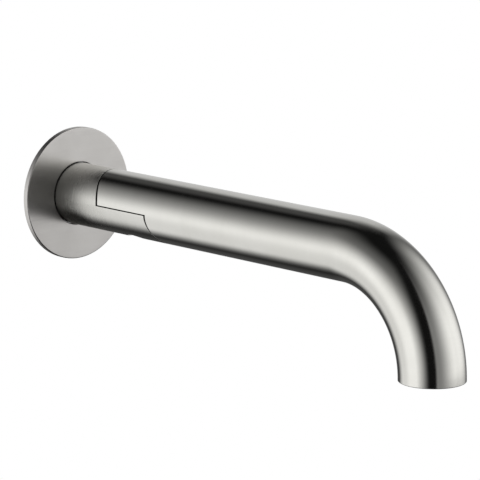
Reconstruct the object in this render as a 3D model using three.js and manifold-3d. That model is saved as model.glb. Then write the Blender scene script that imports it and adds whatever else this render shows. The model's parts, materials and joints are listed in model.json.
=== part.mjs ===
// Swivelling wall bath spout, in millimetres, +Z up.
// The wall is the plane y = 0 and the spout reaches out along -y.
// The origin is the middle of the wall inlet, on the axis of the tube.
import * as THREE from 'three';
import { mergeVertices } from 'three/addons/utils/BufferGeometryUtils.js';
import Module from 'manifold-3d';

const wasm = await Module();
wasm.setup();

// Facets of a full turn.
const TUBE_FACETS = 36;
const LAP_FACETS = 72;
const SMALL_FACETS = 20;
const RING_FACETS = 24;
const RING_SECTION_FACETS = 6;
const HEX_FACETS = 6;
const BEND_STEPS = 12;

// Spout and base tube.
const TUBE_RADIUS = 14;
const SPOUT_WALL = 2.5;
const STRAIGHT_LENGTH = 175.2;
const BEND_RADIUS = 47.1;
const OUTLET_DROP = 0.4;
const RIM_CHAMFER = 0.35;

// Half-lap swivel joint between the base and the spout.
const LAP_RADIUS = 21;
const REAR_SEAM = 0.6;
const FRONT_SEAM = 0.4;
const MIDDLE_SEAM = 0.4;
const SOCKET_END_WALL = 3.7;
const BORE_START_WALL = 4.6;

// Cover plate on the wall.
const FLANGE_RADIUS = 30;
const FLANGE_THICKNESS = 2.6;
const FLANGE_CLEARANCE = 0.15;
const FLANGE_HUB_WALL = 3.4;
const FLANGE_RIM_WIDTH = 3;
const FLANGE_GASKET_DEPTH = 1;
const GASKET_CLEARANCE = 0.3;
const GASKET_SEAT_GAP = 0.1;
const GRIP_SECTION_RADIUS = 0.55;
const GRIP_GROOVE_WIDTH = 1.3;
const GRIP_GAP = 0.1;

// Threaded inlet nipple, G 1/2.
const THREAD_MAJOR_RADIUS = 10.48;
const THREAD_MINOR_RADIUS = 9.32;
const THREAD_PITCH = 1.814;
const THREAD_TURNS = 7;
const THREAD_START = 2;
const THREAD_RELIEF = 1;
const NIPPLE_RADIUS = 10;
const NIPPLE_BORE_RADIUS = 6;
const NIPPLE_REACH = 21.5;
const NIPPLE_CLEARANCE = 0.15;
const NIPPLE_END_GAP = 0.5;
const NIPPLE_CHAMFER = 0.5;
const KEY_ACROSS_FLATS = 12;
const KEY_DEPTH = 8;
const NIPPLE_RING_REACHES = [14.6, 18.6];

// Rubber washer between the base and the wall.
const WALL_WASHER_THICKNESS = 1.4;
const WALL_WASHER_INSET = 0.5;
const WALL_WASHER_CLEARANCE = 0.3;
const FACE_GAP = 0.1;
const BASE_SETBACK = 2 * FACE_GAP + WALL_WASHER_THICKNESS;

// Grub screw that locks the base on the nipple, M5.
const GRUB_RADIUS = 2.5;
const GRUB_INSET = 0.65;
const GRUB_REACH = 8;
const GRUB_KEY_ACROSS_FLATS = 2.5;
const GRUB_KEY_DEPTH = 2;
const SCREW_CLEARANCE = 0.1;

// Rubber rings on the nipple and the spigot.
const RING_SECTION_RADIUS = 0.65;
const RING_GROOVE_FLOOR_GAP = 0.1;
const RING_GROOVE_SIDE_GAP = 0.1;

// Hollow spigot that the spout turns on.
const SPIGOT_RADIUS = 7;
const SPIGOT_CLEARANCE = 0.1;
const SPIGOT_BORE_RADIUS = 4.2;
const SPIGOT_WAIST_RADIUS = 5.6;
const SPIGOT_TOP = 3.3;
const SPIGOT_BOTTOM = -9.2;
const SPIGOT_FLOOR_THICKNESS = 2.6;
const SPIGOT_WAIST_TOP = -2.1;
const SPIGOT_WAIST_BOTTOM = -7.5;
const SPIGOT_WINDOW_WIDTH = 4.4;
const SPIGOT_WINDOW_COUNT = 4;
const SPIGOT_END_GAP = 0.2;
const SPIGOT_RINGS = { lower: -8.35, middle: -1.2, upper: 2.1 };

// Water passages, flat ovals through the two halves of the lap.
const PASSAGE_WIDTH = 10;
const PASSAGE_HEIGHT = 5.2;
const BASE_PASSAGE_LEVEL = -4.8;
const SPOUT_PASSAGE_LEVEL = 6.4;
const CHAMBER_RADIUS = 6.2;
const CHAMBER_TOP = 9.4;

// Slip washer between the flats of the lap.
const SLIP_WASHER_THICKNESS = 1;
const SLIP_RECESS_DEPTH = 0.8;
const SLIP_WASHER_INSET = 0.7;
const SLIP_CLEARANCE = 0.15;

// Screw and washer that hold the spout down, from the underside.
const BASE_FLOOR_THICKNESS = 1;
const THRUST_WASHER_THICKNESS = 0.5;
const PIVOT_SCREW_RADIUS = 3;
const PIVOT_HEAD_RADIUS = 7.05;
const PIVOT_HEAD_THICKNESS = 1;
const PIVOT_HEAD_CLEARANCE = 0.25;
const PIVOT_SHANK_CLEARANCE = 0.3;
const PIVOT_KEY_ACROSS_FLATS = 4;
const PIVOT_KEY_DEPTH = 2.4;
const PIVOT_THREAD_LENGTH = 2.3;

// Stop pin of the swivel and its curved groove in the base.
const STOP_PIN_RADIUS = 1;
const STOP_GROOVE_WALL = 1.3;
const STOP_PIN_CLEARANCE = 0.2;
const STOP_PIN_UP = 2;
const STOP_PIN_DOWN = 1.6;
const STOP_GROOVE_FLOOR_GAP = 0.3;
const SWIVEL_LIMIT = THREE.MathUtils.degToRad(90);

// Aerator in the outlet, M24.
const AERATOR_SEAT_WALL = 1.85;
const AERATOR_CLEARANCE = 0.15;
const AERATOR_RIM_SETBACK = 0.4;
const AERATOR_WALL = 1.7;
const AERATOR_LIP_HEIGHT = 1.4;
const AERATOR_LIP_WIDTH = 0.9;
const AERATOR_SLOT_WIDTH = 3;
const AERATOR_SLOT_DEPTH = 1;
const OUTLET_GASKET_THICKNESS = 1.3;
const OUTLET_GASKET_WIDTH = 2;
const CARTRIDGE_THICKNESS = 2.8;
const CARTRIDGE_HOLE_RADIUS = 1;
const CARTRIDGE_HOLE_PITCH = 2.6;
const CARTRIDGE_HOLE_RINGS = 3;
const SCREEN_THICKNESS = 0.4;
const SCREEN_SLOT_WIDTH = 1.2;
const SCREEN_BAR_WIDTH = 0.8;
const SCREEN_RIM_WIDTH = 1.4;
const REGULATOR_THICKNESS = 1;
const REGULATOR_HOLE_RADIUS = 1.3;
const REGULATOR_HOLE_ORBIT = 6;
const REGULATOR_HOLE_COUNT = 8;
const STACK_GAP = 0.15;

// Cutting tools reach this far past the surface that they cut.
const OVERCUT = 5;

// Finest distance at which two corners of a facet count as one.
const WELD_DISTANCE = 1e-5;

// Worked out from the sizes above.
const NIPPLE_SOCKET_RADIUS = NIPPLE_RADIUS + NIPPLE_CLEARANCE;
const NIPPLE_SOCKET_REACH = NIPPLE_REACH + NIPPLE_END_GAP;
const PIVOT_REACH = NIPPLE_SOCKET_REACH + SOCKET_END_WALL + REAR_SEAM / 2 + LAP_RADIUS;
const PIVOT_Y = -PIVOT_REACH;
const OUTLET_Y = -(STRAIGHT_LENGTH + BEND_RADIUS);
const OUTLET_Z = -(BEND_RADIUS + OUTLET_DROP);
const BASE_FLAT = -MIDDLE_SEAM / 2;
const SPOUT_FLAT = MIDDLE_SEAM / 2;
const SPOUT_BORE_RADIUS = TUBE_RADIUS - SPOUT_WALL;
const SPOUT_BORE_START = PIVOT_REACH + LAP_RADIUS + BORE_START_WALL;
const FLANGE_BORE_RADIUS = TUBE_RADIUS + FLANGE_CLEARANCE;
const PIVOT_BORE_RADIUS = SPIGOT_RADIUS + SPIGOT_CLEARANCE;
const PIVOT_BORE_FLOOR = SPIGOT_BOTTOM - SPIGOT_END_GAP;
const PIVOT_SEAT = PIVOT_BORE_FLOOR - BASE_FLOOR_THICKNESS;
const PIVOT_HEAD_TOP = PIVOT_SEAT - THRUST_WASHER_THICKNESS - 2 * FACE_GAP;
const PIVOT_HEAD_BOTTOM = PIVOT_HEAD_TOP - PIVOT_HEAD_THICKNESS;
const STOP_GROOVE_HALF_WIDTH = STOP_PIN_RADIUS + STOP_PIN_CLEARANCE;
const STOP_PIN_ORBIT = TUBE_RADIUS - STOP_GROOVE_WALL - STOP_GROOVE_HALF_WIDTH;
const SLIP_WASHER_RADIUS = STOP_PIN_ORBIT - STOP_PIN_RADIUS - SLIP_WASHER_INSET;
const AERATOR_SEAT_RADIUS = TUBE_RADIUS - AERATOR_SEAT_WALL;
const AERATOR_RADIUS = AERATOR_SEAT_RADIUS - AERATOR_CLEARANCE;
const CARTRIDGE_RADIUS = AERATOR_RADIUS - AERATOR_WALL - STACK_GAP;
const AERATOR_BOTTOM = OUTLET_Z + AERATOR_RIM_SETBACK;
const CARTRIDGE_LOW = AERATOR_BOTTOM + AERATOR_LIP_HEIGHT + STACK_GAP;
const SCREEN_LOW = CARTRIDGE_LOW + CARTRIDGE_THICKNESS + STACK_GAP;
const REGULATOR_LOW = SCREEN_LOW + SCREEN_THICKNESS + STACK_GAP;
const AERATOR_TOP = REGULATOR_LOW + REGULATOR_THICKNESS + STACK_GAP;
const OUTLET_GASKET_LOW = AERATOR_TOP + STACK_GAP;
const AERATOR_SEAT = OUTLET_GASKET_LOW + OUTLET_GASKET_THICKNESS + STACK_GAP;

const LOOKS = {
  nickel: { color: 0xb9b6af, roughness: 0.3, metalness: 1 },
  brass: { color: 0xc9a45c, roughness: 0.35, metalness: 1 },
  steel: { color: 0xc4c6c8, roughness: 0.3, metalness: 1 },
  rubber: { color: 0x1c1c1d, roughness: 0.75, metalness: 0 },
  plastic: { color: 0xe6e4dd, roughness: 0.45, metalness: 0 },
  foam: { color: 0x2b2c2e, roughness: 0.95, metalness: 0 },
};

// Centre line of the spout: straight out, round the bend, then down to the outlet.
// Its parameter counts one step for the straight, BEND_STEPS for the bend and one for the drop.
class SpoutLine extends THREE.Curve {
  constructor(startReach) {
    super();
    this.startReach = startReach;
    this.steps = BEND_STEPS + 2;
  }

  // Angle already turned at step s, from 0 to a quarter turn.
  turned(s) {
    return THREE.MathUtils.clamp((s - 1) / BEND_STEPS, 0, 1) * Math.PI / 2;
  }

  getPoint(t) {
    const s = t * this.steps;
    const angle = this.turned(s);
    const straight = THREE.MathUtils.lerp(this.startReach, STRAIGHT_LENGTH, Math.min(s, 1));
    const drop = Math.max(s - BEND_STEPS - 1, 0) * OUTLET_DROP;
    const reach = straight + BEND_RADIUS * Math.sin(angle);
    return new THREE.Vector3(0, -reach, -BEND_RADIUS * (1 - Math.cos(angle)) - drop);
  }

  getTangent(t) {
    const angle = this.turned(t * this.steps);
    return new THREE.Vector3(0, -Math.cos(angle), -Math.sin(angle));
  }

  // Steps stay where the parameter puts them.
  getUtoTmapping(u) {
    return u;
  }
}

// Closed geometry to a solid that can be joined and cut.
function solid(geometry) {
  const bare = geometry.clone();
  bare.deleteAttribute('normal');
  bare.deleteAttribute('uv');
  const merged = mergeVertices(bare, WELD_DISTANCE);
  const corners = merged.index.array;
  const kept = [];
  for (let i = 0; i < corners.length; i += 3) {
    const [a, b, c] = [corners[i], corners[i + 1], corners[i + 2]];
    if (a !== b && b !== c && c !== a) kept.push(a, b, c);
  }
  return new wasm.Manifold(new wasm.Mesh({
    numProp: 3,
    vertProperties: new Float32Array(merged.attributes.position.array),
    triVerts: new Uint32Array(kept),
  }));
}

// Solid to a named mesh of the given look.
function named(name, body, look) {
  const result = body.getMesh();
  const geometry = new THREE.BufferGeometry();
  geometry.setAttribute('position', new THREE.BufferAttribute(result.vertProperties, 3));
  geometry.setIndex(new THREE.BufferAttribute(result.triVerts, 1));
  geometry.computeVertexNormals();
  const mesh = new THREE.Mesh(geometry, new THREE.MeshStandardMaterial(LOOKS[look]));
  mesh.name = name;
  return mesh;
}

// Outline of [radius, height] points, anticlockwise, turned about the y axis.
function turnedOnTube(outline, facets) {
  const points = outline.map(([radius, y]) => new THREE.Vector2(radius, y));
  return solid(new THREE.LatheGeometry(points, facets));
}

// The same outline turned about the pivot's upright axis.
function turnedOnPivot(outline, facets) {
  const points = outline.map(([radius, z]) => new THREE.Vector2(radius, z));
  const geometry = new THREE.LatheGeometry(points, facets);
  geometry.rotateX(Math.PI / 2);
  geometry.translate(0, PIVOT_Y, 0);
  return solid(geometry);
}

// The same outline turned about the outlet's upright axis.
function turnedOnOutlet(outline, facets) {
  return turnedOnPivot(outline, facets).translate([0, OUTLET_Y - PIVOT_Y, 0]);
}

// Outline of a full disc and of a flat ring, between two heights.
function discOutline(radius, low, high) {
  return [[0, low], [radius, low], [radius, high], [0, high]];
}

function ringOutline(inner, outer, low, high) {
  return [[inner, low], [outer, low], [outer, high], [inner, high], [inner, low]];
}

// Block between two corners.
function block([x0, y0, z0], [x1, y1, z1]) {
  const geometry = new THREE.BoxGeometry(x1 - x0, y1 - y0, z1 - z0);
  geometry.translate((x0 + x1) / 2, (y0 + y1) / 2, (z0 + z1) / 2);
  return solid(geometry);
}

// Upright post at (x, y), round or six-sided.
function post(radius, x, y, low, high, facets) {
  const geometry = new THREE.CylinderGeometry(radius, radius, high - low, facets);
  geometry.rotateX(Math.PI / 2);
  geometry.translate(x, y, (low + high) / 2);
  return solid(geometry);
}

// Radius over the corners of a hexagon of a given width across its flats.
function hexRadius(acrossFlats) {
  return acrossFlats / 2 / Math.cos(Math.PI / HEX_FACETS);
}

// Rod of a section that follows the spout's centre line.
function alongSpout(radius, startReach) {
  const section = new THREE.Shape();
  section.absarc(0, 0, radius, 0, 2 * Math.PI, false);
  const path = new SpoutLine(startReach);
  return solid(new THREE.ExtrudeGeometry(section, {
    steps: path.steps,
    curveSegments: TUBE_FACETS / 2,
    extrudePath: path,
  }));
}

// Flat oval passage along y, between two reaches, centred at a level.
function passage(level, nearReach, farReach) {
  const half = (PASSAGE_WIDTH - PASSAGE_HEIGHT) / 2;
  const section = new THREE.Shape();
  section.absarc(half, 0, PASSAGE_HEIGHT / 2, -Math.PI / 2, Math.PI / 2, false);
  section.absarc(-half, 0, PASSAGE_HEIGHT / 2, Math.PI / 2, 3 * Math.PI / 2, false);
  const geometry = new THREE.ExtrudeGeometry(section, {
    depth: farReach - nearReach,
    curveSegments: SMALL_FACETS / 4,
    bevelEnabled: false,
  });
  geometry.rotateX(Math.PI / 2);
  geometry.translate(0, -nearReach, level);
  return solid(geometry);
}

// Rubber ring round the tube's axis at a reach, or round the pivot at a level.
function tubeRing(centreRadius, sectionRadius, reach) {
  const geometry = new THREE.TorusGeometry(centreRadius, sectionRadius, RING_SECTION_FACETS, RING_FACETS);
  geometry.rotateX(Math.PI / 2);
  geometry.translate(0, -reach, 0);
  return solid(geometry);
}

function pivotRing(centreRadius, sectionRadius, level) {
  const geometry = new THREE.TorusGeometry(centreRadius, sectionRadius, RING_SECTION_FACETS, RING_FACETS);
  geometry.translate(0, PIVOT_Y, level);
  return solid(geometry);
}

// Centre radius of a ring whose outside is level with the shaft, and the floor of its groove.
function ringCentre(shaftRadius) {
  return shaftRadius - RING_SECTION_RADIUS;
}

function grooveFloor(shaftRadius) {
  return shaftRadius - 2 * RING_SECTION_RADIUS - RING_GROOVE_FLOOR_GAP;
}

function grooveOutline(shaftRadius, middle) {
  const half = RING_SECTION_RADIUS + RING_GROOVE_SIDE_GAP;
  return ringOutline(grooveFloor(shaftRadius), shaftRadius + OVERCUT, middle - half, middle + half);
}

// Space on the wall side or the outlet side of the pivot, beyond a lap radius.
function beyondLap(radius, towardsWall) {
  const side = 2 * LAP_RADIUS;
  const [near, far] = towardsWall ? [PIVOT_Y, PIVOT_Y + side] : [PIVOT_Y - side, PIVOT_Y];
  const half = block([-side, near, -side], [side, far, side]);
  return half.subtract(post(radius, 0, PIVOT_Y, -side, side, LAP_FACETS));
}

// Room for the other half of the lap: a round pocket and all that lies behind it.
function lapPocket(radius, low, high, towardsWall) {
  const side = 2 * LAP_RADIUS;
  const [near, far] = towardsWall ? [PIVOT_Y, PIVOT_Y + side] : [PIVOT_Y - side, PIVOT_Y];
  const pocket = post(radius, 0, PIVOT_Y, low, high, LAP_FACETS);
  return pocket.add(block([-side, near, low], [side, far, high]));
}

// Curved groove that the stop pin runs in, open at the flat of the base.
function stopGroove() {
  const half = STOP_GROOVE_HALF_WIDTH;
  const forwards = -Math.PI / 2;
  const outline = new THREE.Shape();
  const [first, last] = [forwards - SWIVEL_LIMIT, forwards + SWIVEL_LIMIT];
  const endCentre = angle => [STOP_PIN_ORBIT * Math.cos(angle), STOP_PIN_ORBIT * Math.sin(angle)];
  outline.absarc(0, 0, STOP_PIN_ORBIT + half, first, last, false);
  outline.absarc(...endCentre(last), half, last, last + Math.PI, false);
  outline.absarc(0, 0, STOP_PIN_ORBIT - half, last, first, true);
  outline.absarc(...endCentre(first), half, first + Math.PI, first + 2 * Math.PI, false);
  const depth = STOP_PIN_DOWN + BASE_FLAT + STOP_GROOVE_FLOOR_GAP;
  const geometry = new THREE.ExtrudeGeometry(outline, {
    depth: depth + OVERCUT,
    curveSegments: SMALL_FACETS / 2,
    bevelEnabled: false,
  });
  geometry.translate(0, PIVOT_Y, BASE_FLAT - depth);
  return solid(geometry);
}

// Base: the fixed length of tube with the lower half of the lap.
function makeBaseBody() {
  const tube = turnedOnTube(discOutline(TUBE_RADIUS, PIVOT_Y - 2 * LAP_RADIUS, -BASE_SETBACK), TUBE_FACETS);
  const side = 2 * LAP_RADIUS;
  const socket = turnedOnTube(discOutline(NIPPLE_SOCKET_RADIUS, -NIPPLE_SOCKET_REACH, OVERCUT), TUBE_FACETS);
  const pivotBore = post(PIVOT_BORE_RADIUS, 0, PIVOT_Y, PIVOT_BORE_FLOOR, OVERCUT, TUBE_FACETS);
  const seatRadius = PIVOT_HEAD_RADIUS + PIVOT_HEAD_CLEARANCE;
  const screwSeat = post(seatRadius, 0, PIVOT_Y, -side, PIVOT_SEAT, TUBE_FACETS);
  const screwHoleRadius = PIVOT_SCREW_RADIUS + PIVOT_SHANK_CLEARANCE;
  const screwHole = post(screwHoleRadius, 0, PIVOT_Y, -side, OVERCUT, SMALL_FACETS);
  const grubHole = post(GRUB_RADIUS + SCREW_CLEARANCE, 0, -GRUB_REACH, -side, 0, SMALL_FACETS);
  return tube
    .subtract(lapPocket(LAP_RADIUS + REAR_SEAM / 2, BASE_FLAT, side, false))
    .subtract(beyondLap(LAP_RADIUS - FRONT_SEAM / 2, false))
    .subtract(socket)
    .subtract(passage(BASE_PASSAGE_LEVEL, NIPPLE_REACH, PIVOT_REACH))
    .subtract(pivotBore)
    .subtract(screwSeat)
    .subtract(screwHole)
    .subtract(grubHole)
    .subtract(stopGroove());
}

// Spout: the turning tube with the upper half of the lap, the bend and the outlet.
function makeSpoutBody() {
  const side = 2 * LAP_RADIUS;
  const outside = alongSpout(TUBE_RADIUS, PIVOT_REACH - LAP_RADIUS - OVERCUT);
  const bore = alongSpout(SPOUT_BORE_RADIUS, SPOUT_BORE_START);
  const aeratorSeat = turnedOnOutlet([
    [0, OUTLET_Z - OVERCUT],
    [AERATOR_SEAT_RADIUS + RIM_CHAMFER + OVERCUT, OUTLET_Z - OVERCUT],
    [AERATOR_SEAT_RADIUS, OUTLET_Z + RIM_CHAMFER],
    [AERATOR_SEAT_RADIUS, AERATOR_SEAT],
    [0, AERATOR_SEAT],
  ], TUBE_FACETS);
  const pivotBore = post(PIVOT_BORE_RADIUS, 0, PIVOT_Y, -side, SPIGOT_TOP + SPIGOT_END_GAP, TUBE_FACETS);
  const chamber = post(CHAMBER_RADIUS, 0, PIVOT_Y, 0, CHAMBER_TOP, TUBE_FACETS);
  const slipRadius = SLIP_WASHER_RADIUS + SLIP_CLEARANCE;
  const slipRecess = post(slipRadius, 0, PIVOT_Y, -side, SPOUT_FLAT + SLIP_RECESS_DEPTH, TUBE_FACETS);
  const pinHoleRadius = STOP_PIN_RADIUS + SCREW_CLEARANCE;
  const pinHoleTop = STOP_PIN_UP + STACK_GAP;
  const pinHole = post(pinHoleRadius, 0, PIVOT_Y - STOP_PIN_ORBIT, -side, pinHoleTop, SMALL_FACETS);
  return outside
    .subtract(lapPocket(LAP_RADIUS + FRONT_SEAM / 2, -side, SPOUT_FLAT, true))
    .subtract(beyondLap(LAP_RADIUS - REAR_SEAM / 2, true))
    .subtract(bore)
    .subtract(aeratorSeat)
    .subtract(passage(SPOUT_PASSAGE_LEVEL, PIVOT_REACH, SPOUT_BORE_START + OVERCUT))
    .subtract(pivotBore)
    .subtract(chamber)
    .subtract(slipRecess)
    .subtract(pinHole);
}

// Cover plate with a hub round the tube and a shallow recess for its gasket.
function makeWallFlange() {
  const hubRadius = FLANGE_BORE_RADIUS + FLANGE_HUB_WALL;
  const recessRadius = FLANGE_RADIUS - FLANGE_RIM_WIDTH;
  const gripMiddle = -FLANGE_THICKNESS / 2;
  const gripFloor = FLANGE_BORE_RADIUS + 2 * GRIP_SECTION_RADIUS + GRIP_GAP;
  const plate = turnedOnTube([
    [FLANGE_BORE_RADIUS, -FLANGE_THICKNESS],
    [FLANGE_RADIUS - RIM_CHAMFER, -FLANGE_THICKNESS],
    [FLANGE_RADIUS, -FLANGE_THICKNESS + RIM_CHAMFER],
    [FLANGE_RADIUS, 0],
    [FLANGE_BORE_RADIUS, 0],
    [FLANGE_BORE_RADIUS, -FLANGE_THICKNESS],
  ], TUBE_FACETS);
  const recess = ringOutline(hubRadius, recessRadius, -FLANGE_GASKET_DEPTH, OVERCUT);
  const half = GRIP_GROOVE_WIDTH / 2;
  const groove = discOutline(gripFloor, gripMiddle - half, gripMiddle + half);
  return plate
    .subtract(turnedOnTube(recess, TUBE_FACETS))
    .subtract(turnedOnTube(groove, TUBE_FACETS));
}

function makeFlangeGasket() {
  const inner = FLANGE_BORE_RADIUS + FLANGE_HUB_WALL + GASKET_CLEARANCE;
  const outer = FLANGE_RADIUS - FLANGE_RIM_WIDTH - GASKET_CLEARANCE;
  const front = -FLANGE_GASKET_DEPTH + GASKET_SEAT_GAP;
  return turnedOnTube(ringOutline(inner, outer, front, 0), TUBE_FACETS);
}

function makeGripRing() {
  const centre = FLANGE_BORE_RADIUS + GRIP_SECTION_RADIUS;
  return tubeRing(centre, GRIP_SECTION_RADIUS, FLANGE_THICKNESS / 2);
}

// Nipple: the thread behind the wall, the smooth spigot inside the base.
function makeInletNipple() {
  const outline = [
    [NIPPLE_BORE_RADIUS, -NIPPLE_REACH],
    [NIPPLE_RADIUS - NIPPLE_CHAMFER, -NIPPLE_REACH],
    [NIPPLE_RADIUS, -NIPPLE_REACH + NIPPLE_CHAMFER],
    [NIPPLE_RADIUS, THREAD_START - THREAD_RELIEF],
    [THREAD_MINOR_RADIUS, THREAD_START - THREAD_RELIEF],
    [THREAD_MINOR_RADIUS, THREAD_START],
  ];
  for (let turn = 0; turn < THREAD_TURNS; turn += 1) {
    outline.push([THREAD_MAJOR_RADIUS, THREAD_START + (turn + 0.5) * THREAD_PITCH]);
    outline.push([THREAD_MINOR_RADIUS, THREAD_START + (turn + 1) * THREAD_PITCH]);
  }
  const end = THREAD_START + THREAD_TURNS * THREAD_PITCH;
  outline.push([THREAD_MINOR_RADIUS - NIPPLE_CHAMFER, end + NIPPLE_CHAMFER]);
  outline.push([NIPPLE_BORE_RADIUS, end + NIPPLE_CHAMFER]);
  outline.push(outline[0]);
  const keyway = new THREE.CylinderGeometry(
    hexRadius(KEY_ACROSS_FLATS), hexRadius(KEY_ACROSS_FLATS), KEY_DEPTH + OVERCUT, HEX_FACETS,
  );
  keyway.translate(0, -NIPPLE_REACH + (KEY_DEPTH - OVERCUT) / 2, 0);
  let nipple = turnedOnTube(outline, TUBE_FACETS).subtract(solid(keyway));
  for (const reach of NIPPLE_RING_REACHES) {
    nipple = nipple.subtract(turnedOnTube(grooveOutline(NIPPLE_RADIUS, -reach), TUBE_FACETS));
  }
  return nipple;
}

function makeWallWasher() {
  const inner = NIPPLE_RADIUS + WALL_WASHER_CLEARANCE;
  const outer = TUBE_RADIUS - WALL_WASHER_INSET;
  const low = -FACE_GAP - WALL_WASHER_THICKNESS;
  return turnedOnTube(ringOutline(inner, outer, low, -FACE_GAP), TUBE_FACETS);
}

function makeGrubScrew() {
  const tip = -NIPPLE_SOCKET_RADIUS;
  const end = -(TUBE_RADIUS - GRUB_INSET);
  const shank = post(GRUB_RADIUS, 0, -GRUB_REACH, end, tip, SMALL_FACETS);
  const keyRadius = hexRadius(GRUB_KEY_ACROSS_FLATS);
  return shank.subtract(post(keyRadius, 0, -GRUB_REACH, end - OVERCUT, end + GRUB_KEY_DEPTH, HEX_FACETS));
}

// Spigot: hollow, waisted where the water enters through its windows, with three ring grooves.
function makeSwivelSpigot() {
  const floor = SPIGOT_BOTTOM + SPIGOT_FLOOR_THICKNESS;
  const threadHole = PIVOT_SCREW_RADIUS + SCREW_CLEARANCE;
  let spigot = turnedOnPivot([
    [threadHole, SPIGOT_BOTTOM],
    [SPIGOT_RADIUS, SPIGOT_BOTTOM],
    [SPIGOT_RADIUS, SPIGOT_WAIST_BOTTOM],
    [SPIGOT_WAIST_RADIUS, SPIGOT_WAIST_BOTTOM],
    [SPIGOT_WAIST_RADIUS, SPIGOT_WAIST_TOP],
    [SPIGOT_RADIUS, SPIGOT_WAIST_TOP],
    [SPIGOT_RADIUS, SPIGOT_TOP],
    [SPIGOT_BORE_RADIUS, SPIGOT_TOP],
    [SPIGOT_BORE_RADIUS, floor],
    [threadHole, floor],
    [threadHole, SPIGOT_BOTTOM],
  ], TUBE_FACETS);
  const half = SPIGOT_WINDOW_WIDTH / 2;
  const reach = SPIGOT_RADIUS;
  for (let i = 0; i < SPIGOT_WINDOW_COUNT / 2; i += 1) {
    const window = block([-half, -reach, floor + FACE_GAP], [half, reach, SPIGOT_WAIST_TOP - FACE_GAP]);
    const turn = 180 * i / (SPIGOT_WINDOW_COUNT / 2);
    spigot = spigot.subtract(window.rotate([0, 0, turn]).translate([0, PIVOT_Y, 0]));
  }
  for (const level of Object.values(SPIGOT_RINGS)) {
    spigot = spigot.subtract(turnedOnPivot(grooveOutline(SPIGOT_RADIUS, level), TUBE_FACETS));
  }
  return spigot;
}

function makeSlipWasher() {
  const top = SPOUT_FLAT + SLIP_RECESS_DEPTH - FACE_GAP;
  const inner = PIVOT_BORE_RADIUS + SLIP_CLEARANCE;
  return turnedOnPivot(ringOutline(inner, SLIP_WASHER_RADIUS, top - SLIP_WASHER_THICKNESS, top), TUBE_FACETS);
}

function makeThrustWasher() {
  const inner = PIVOT_SCREW_RADIUS + PIVOT_SHANK_CLEARANCE;
  const top = PIVOT_SEAT - FACE_GAP;
  const low = top - THRUST_WASHER_THICKNESS;
  return turnedOnPivot(ringOutline(inner, PIVOT_HEAD_RADIUS - SLIP_CLEARANCE, low, top), TUBE_FACETS);
}

function makePivotScrew() {
  const tip = SPIGOT_BOTTOM + PIVOT_THREAD_LENGTH;
  const screw = turnedOnPivot([
    [0, PIVOT_HEAD_BOTTOM],
    [PIVOT_HEAD_RADIUS - RIM_CHAMFER, PIVOT_HEAD_BOTTOM],
    [PIVOT_HEAD_RADIUS, PIVOT_HEAD_BOTTOM + RIM_CHAMFER],
    [PIVOT_HEAD_RADIUS, PIVOT_HEAD_TOP],
    [PIVOT_SCREW_RADIUS, PIVOT_HEAD_TOP],
    [PIVOT_SCREW_RADIUS, tip],
    [0, tip],
  ], TUBE_FACETS);
  const keyTop = PIVOT_HEAD_BOTTOM + PIVOT_KEY_DEPTH;
  const keyRadius = hexRadius(PIVOT_KEY_ACROSS_FLATS);
  return screw.subtract(post(keyRadius, 0, PIVOT_Y, PIVOT_HEAD_BOTTOM - OVERCUT, keyTop, HEX_FACETS));
}

function makeStopPin() {
  return post(STOP_PIN_RADIUS, 0, PIVOT_Y - STOP_PIN_ORBIT, -STOP_PIN_DOWN, STOP_PIN_UP, SMALL_FACETS);
}

function makeOutletGasket() {
  const low = OUTLET_GASKET_LOW;
  const inner = AERATOR_RADIUS - OUTLET_GASKET_WIDTH;
  return turnedOnOutlet(ringOutline(inner, AERATOR_RADIUS, low, low + OUTLET_GASKET_THICKNESS), TUBE_FACETS);
}

// Housing: a ring with an inner lip below and two slots for its key.
function makeAeratorHousing() {
  const inner = AERATOR_RADIUS - AERATOR_WALL;
  const lip = inner - AERATOR_LIP_WIDTH;
  const housing = turnedOnOutlet([
    [lip, AERATOR_BOTTOM],
    [AERATOR_RADIUS, AERATOR_BOTTOM],
    [AERATOR_RADIUS, AERATOR_TOP],
    [inner, AERATOR_TOP],
    [inner, AERATOR_BOTTOM + AERATOR_LIP_HEIGHT],
    [lip, AERATOR_BOTTOM + AERATOR_LIP_HEIGHT],
    [lip, AERATOR_BOTTOM],
  ], TUBE_FACETS);
  const half = AERATOR_SLOT_WIDTH / 2;
  const across = AERATOR_RADIUS + OVERCUT;
  const slotTop = AERATOR_BOTTOM + AERATOR_SLOT_DEPTH;
  return housing.subtract(block(
    [-across, OUTLET_Y - half, AERATOR_BOTTOM - OVERCUT],
    [across, OUTLET_Y + half, slotTop],
  ));
}

// Cartridge: a thick plate with a honeycomb of straight holes.
function makeAeratorCartridge() {
  const low = CARTRIDGE_LOW;
  const high = low + CARTRIDGE_THICKNESS;
  const rings = CARTRIDGE_HOLE_RINGS;
  let cartridge = turnedOnOutlet(discOutline(CARTRIDGE_RADIUS, low, high), TUBE_FACETS);
  for (let column = -rings; column <= rings; column += 1) {
    for (let row = -rings; row <= rings; row += 1) {
      if (Math.abs(column + row) > rings) continue;
      const x = CARTRIDGE_HOLE_PITCH * (column + row / 2);
      const y = OUTLET_Y + CARTRIDGE_HOLE_PITCH * row * Math.sqrt(3) / 2;
      cartridge = cartridge.subtract(
        post(CARTRIDGE_HOLE_RADIUS, x, y, low - OVERCUT, high + OVERCUT, HEX_FACETS),
      );
    }
  }
  return cartridge;
}

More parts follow.
